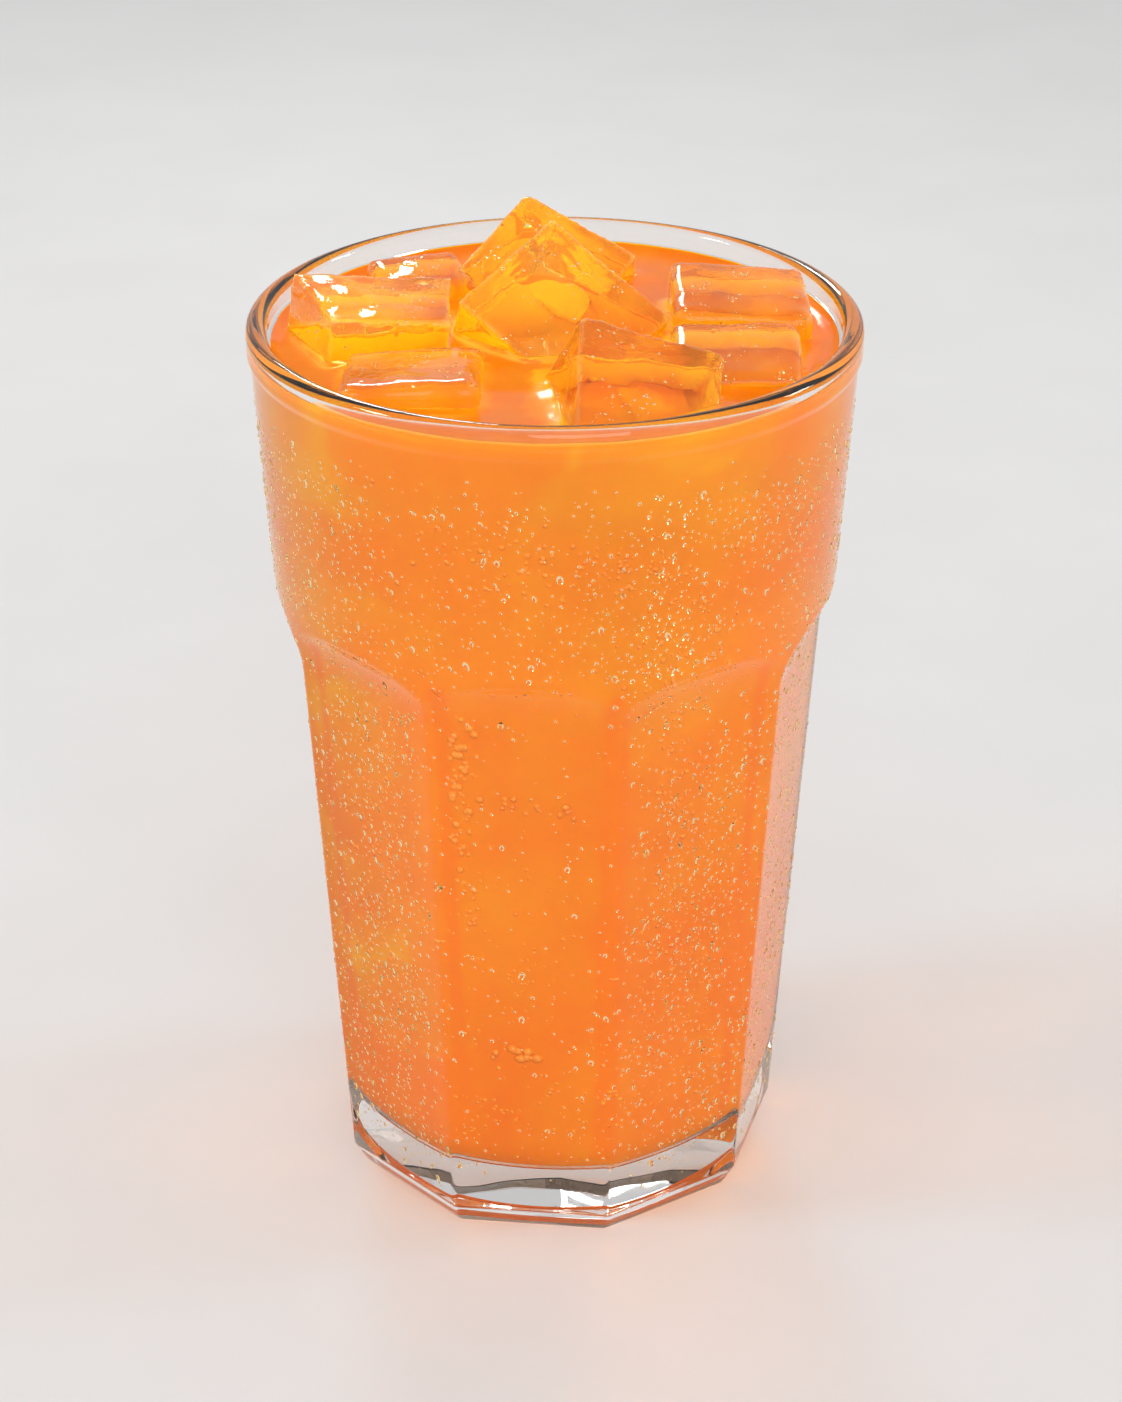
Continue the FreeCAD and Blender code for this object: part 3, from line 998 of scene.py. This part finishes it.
def combine(nodes, links, operation, *sources):
    """Math node fed by outputs or plain numbers; its output."""
    node = nodes.new("ShaderNodeMath")
    node.operation = operation
    for socket, source in zip(node.inputs, sources):
        if isinstance(source, float):
            socket.default_value = source
        else:
            links.new(source, socket)
    return node.outputs[0]


def mix_shaders(nodes, links, share, first, second):
    """Mix of two shader nodes, the share being that of the second."""
    mix = nodes.new("ShaderNodeMixShader")
    links.new(share, mix.inputs["Fac"])
    links.new(first.outputs[0], mix.inputs[1])
    links.new(second.outputs[0], mix.inputs[2])
    return mix


def add_bump(nodes, links, shader, height, strength, depth):
    """Surface relief on a shader, its depth in millimetres."""
    bump = nodes.new("ShaderNodeBump")
    set_sockets(bump, {"Strength": strength, "Distance": depth * MM})
    links.new(height, bump.inputs["Height"])
    links.new(bump.outputs["Normal"], shader.inputs["Normal"])


def let_lamps_through(nodes, links, shader, colour):
    """Lamps shine through the shader, tinted, so that what lies inside is lit."""
    path = nodes.new("ShaderNodeLightPath")
    clear = nodes.new("ShaderNodeBsdfTransparent")
    set_sockets(clear, {"Color": (*colour, 1)})
    mix = mix_shaders(nodes, links, path.outputs["Is Shadow Ray"], shader, clear)
    links.new(mix.outputs[0], nodes["Material Output"].inputs["Surface"])


def glass_material():
    """Clear pressed glass, very slightly uneven."""
    material, nodes, links, shader = new_material("clear_glass")
    set_sockets(shader, {"Base Color": (*GLASS_COLOUR, 1), "Roughness": 0.0,
                         "IOR": GLASS_IOR, "Transmission Weight": 1.0})
    waves = object_noise(nodes, links, scale=55, detail=1.0)
    add_bump(nodes, links, shader, waves, strength=0.35, depth=0.5)
    let_lamps_through(nodes, links, shader, THROUGH_GLASS)
    return material


def water_material():
    """Condensation, tinted warm as painted light from the drink behind it."""
    material, nodes, links, shader = new_material("dew")
    set_sockets(shader, {"Base Color": (*DEW_PAINTED_DRINK_LIGHT, 1), "Roughness": 0.0,
                         "IOR": WATER_IOR, "Transmission Weight": 1.0})
    let_lamps_through(nodes, links, shader, THROUGH_WATER)
    return material


def ice_material(name, colour, clear, cloud):
    """Clear ice with cloudy places, and less clear edges where its surface bends, as a painted
    highlight.
    """
    material, nodes, links, shader = new_material(name)
    haze = object_noise(nodes, links, scale=130, detail=3.0)
    tint = colour_ramp(nodes, links, haze, ((0.35, colour), (0.75, cloud)))
    links.new(tint, shader.inputs["Base Color"])
    # Painted highlight: where the surface bends, less light passes and the tint shows paler.
    shape = nodes.new("ShaderNodeNewGeometry").outputs["Pointiness"]
    painted_edge_highlight = map_range(nodes, links, shape, low=0.53, high=0.60, to_low=clear, to_high=0.55)
    links.new(painted_edge_highlight, shader.inputs["Transmission Weight"])
    rough = map_range(nodes, links, haze, low=0.45, high=0.75, to_low=0.0, to_high=0.16)
    links.new(rough, shader.inputs["Roughness"])
    set_sockets(shader, {"IOR": ICE_IOR})
    pits = object_noise(nodes, links, scale=300, detail=3.0)
    add_bump(nodes, links, shader, pits, strength=0.35, depth=0.3)
    let_lamps_through(nodes, links, shader, colour)
    return material


def mirror_at_grazing(nodes, links, shader):
    """Total reflection inside the glass where light meets the soda at a flat angle."""
    fresnel = nodes.new("ShaderNodeFresnel")
    set_sockets(fresnel, {"IOR": DRINK_IOR / GLASS_IOR})
    mirror = nodes.new("ShaderNodeBsdfGlossy")
    set_sockets(mirror, {"Roughness": 0.02})
    return mix_shaders(nodes, links, fresnel.outputs["Fac"], shader, mirror)


def drink_tone(nodes, links, low, low_tone, high_tone):
    """Tone that rises from a height in millimetres to the level, with haze in it, and painted
    light from ice behind the skin and painted shade at the panels' edges.
    """
    where = nodes.new("ShaderNodeTexCoord")
    split = nodes.new("ShaderNodeSeparateXYZ")
    links.new(where.outputs["Object"], split.inputs[0])
    # Painted light and shade, kept on the mesh.
    near = nodes.new("ShaderNodeAttribute")
    near.attribute_name = "painted_ice_light_and_edge_shade"
    tone = map_range(nodes, links, split.outputs["Z"], low * MM, LEVEL * MM, low_tone, high_tone)
    broad = object_noise(nodes, links, scale=34, detail=1.0)
    fine = object_noise(nodes, links, scale=105, detail=2.0)
    for output, share in ((broad, BROAD_HAZE), (fine, FINE_HAZE),
                          (near.outputs["Fac"], PAINTED_LIGHT_AND_SHADE_SHARE)):
        tone = combine(nodes, links, "MULTIPLY_ADD", output, share, tone)
    return tone


def drink_material(name, stops, see_through, gloss, tones, under_glass=False):
    """Cloudy soda. tones is a height in millimetres, the tone there and the one at the top."""
    material, nodes, links, shader = new_material(name)
    colour = colour_ramp(nodes, links, drink_tone(nodes, links, *tones), stops)
    links.new(colour, shader.inputs["Base Color"])
    set_sockets(shader, {"Roughness": 0.1, "IOR": DRINK_IOR, "Specular IOR Level": gloss,
                         "Transmission Weight": see_through, "Subsurface Weight": 0.5,
                         "Subsurface Radius": (1.0, 0.45, 0.05), "Subsurface Scale": 4 * MM})
    unevenness = object_noise(nodes, links, scale=160, detail=2.0)
    add_bump(nodes, links, shader, unevenness, strength=0.2, depth=0.25)
    outer = mirror_at_grazing(nodes, links, shader) if under_glass else shader
    let_lamps_through(nodes, links, outer, THROUGH_DRINK)
    return material


def drink_materials():
    """The drink's skin, its open surface and its hollows round the ice."""
    skin = drink_material("orange_soda", SKIN_COLOURS, see_through=0.10, gloss=0.0,
                          tones=(FLOOR, -0.55, -0.32), under_glass=True)
    surface = drink_material("soda_surface", SURFACE_COLOURS, see_through=0.12, gloss=0.3,
                             tones=(FLOOR, -0.6, -0.4))
    # Painted light and shade: the hollows are lighter and yellower than the drink, and darker
    # deeper down.
    well = drink_material("soda_round_ice", WELL_LIGHT_AND_SHADE_COLOURS, see_through=0.0, gloss=0.1,
                          tones=(LEVEL - WELL_DEPTH, -0.75, -0.25))
    return skin, surface, well


def bubble_material():
    """Gas bubbles in the soda, shinier than the soda round them."""
    material, nodes, links, shader = new_material("gas_bubbles")
    haze = object_noise(nodes, links, scale=300, detail=1.0)
    colour = colour_ramp(nodes, links, haze, BUBBLE_COLOURS)
    links.new(colour, shader.inputs["Base Color"])
    set_sockets(shader, {"Roughness": 0.04, "IOR": BUBBLE_IOR})
    let_lamps_through(nodes, links, shader, THROUGH_BUBBLES)
    return material


# ---------------------------------------------------------------------- stage

# Half the table's side, in millimetres.
TABLE_REACH = 6000
BACKDROP = (0.93, 0.935, 0.94)
BACKDROP_STRENGTH = 0.78

# Where the table starts and ends its fade into the backdrop, in metres.
FADE_START = 0.45
FADE_END = 1.6

# Lamps: place and size in metres, power in watts. All face the glass.
Lamp = namedtuple("Lamp", "name place size power")
LAMPS = (
    Lamp("key_left", (-0.55, -0.10, 0.62), 0.13, 1.3),
    Lamp("rim_right", (0.62, 0.12, 0.42), 0.13, 0.8),
    Lamp("back", (-0.10, 0.60, 0.50), 0.13, 1.0),
    Lamp("front_fill", (0.15, -0.92, 0.44), 0.6, 3.5),
)
LAMPS_AIM = Vector((0, 0, 0.08))

# Camera: how far down it looks, how far away it is and what it looks at, in metres.
CAMERA_TILT = math.radians(26.9)
CAMERA_DISTANCE = 0.5114
CAMERA_AIM = Vector((0.0009, 0.0, 0.0764))
CAMERA_LENS = 84.74
CAMERA_SENSOR = 36


def table_material():
    """Pale, dull table that fades into the backdrop where a camera sees it from afar."""
    material, nodes, links, shader = new_material("table")
    grain = object_noise(nodes, links, scale=20, detail=4.0)
    colour = colour_ramp(nodes, links, grain, TABLE_COLOURS)
    links.new(colour, shader.inputs["Base Color"])
    set_sockets(shader, {"Roughness": 0.8, "Specular IOR Level": 0.1})
    where = nodes.new("ShaderNodeTexCoord")
    distance = nodes.new("ShaderNodeVectorMath")
    distance.operation = "LENGTH"
    links.new(where.outputs["Object"], distance.inputs[0])
    fade = map_range(nodes, links, distance.outputs["Value"], FADE_START, FADE_END,
                     ease="SMOOTHSTEP")
    path = nodes.new("ShaderNodeLightPath")
    share = combine(nodes, links, "MULTIPLY", fade, path.outputs["Is Camera Ray"])
    glow = nodes.new("ShaderNodeEmission")
    set_sockets(glow, {"Color": (*BACKDROP, 1), "Strength": BACKDROP_STRENGTH})
    mix = mix_shaders(nodes, links, share, shader, glow)
    links.new(mix.outputs[0], nodes["Material Output"].inputs["Surface"])
    return material


def make_floor():
    """Table top under the glass."""
    far = TABLE_REACH
    points = [(-far, -far, 0), (far, -far, 0), (far, far, 0), (-far, far, 0)]
    floor = new_object("table", points, [(0, 1, 2, 3)], smooth=False)
    floor.data.materials.append(table_material())


def make_world():
    """Pale studio all round."""
    world = bpy.data.worlds.new("studio")
    world.use_nodes = True
    set_sockets(world.node_tree.nodes["Background"],
                {"Color": (*BACKDROP, 1), "Strength": BACKDROP_STRENGTH})
    bpy.context.scene.world = world


def add_lamp(row):
    """Soft square lamp, turned to the glass."""
    lamp = bpy.data.lights.new(row.name, "AREA")
    lamp.size = row.size
    lamp.energy = row.power
    thing = bpy.data.objects.new(row.name, lamp)
    thing.location = row.place
    thing.rotation_euler = (LAMPS_AIM - Vector(row.place)).to_track_quat("-Z", "Y").to_euler()
    bpy.context.scene.collection.objects.link(thing)


def add_camera():
    """Camera that looks down at the glass from half a metre away."""
    camera = bpy.data.objects.new("camera", bpy.data.cameras.new("camera"))
    away = Vector((0, -math.cos(CAMERA_TILT), math.sin(CAMERA_TILT)))
    camera.location = CAMERA_AIM + CAMERA_DISTANCE * away
    camera.rotation_euler = (math.pi / 2 - CAMERA_TILT, 0, 0)
    camera.data.lens = CAMERA_LENS
    camera.data.sensor_width = CAMERA_SENSOR
    camera.data.clip_start = 0.01
    bpy.context.scene.collection.objects.link(camera)
    bpy.context.scene.camera = camera


def main():
    """Build the glass with what is in and on it, then the stage round it."""
    bpy.context.scene.view_settings.view_transform = "Standard"
    clear = glass_material()
    water = water_material()
    ice = ice_material("ice", ICE_PAINTED_DRINK_LIGHT, clear=0.97, cloud=ICE_CLOUD_PAINTED_DRINK_LIGHT)
    sunk_look = ice_material("sunk_ice", SUNK_ICE_COLOUR, clear=0.8, cloud=SUNK_ICE_CLOUD)
    make_glass(clear)
    cubes = make_surface_ice(ice)
    sunk = make_sunk_ice(sunk_look)
    make_drink(drink_materials(), cubes, sunk)
    make_flecks(water, cubes)
    make_dew(water)
    make_wall_bubbles(bubble_material())
    make_floor()
    make_world()
    for row in LAMPS:
        add_lamp(row)
    add_camera()


main()
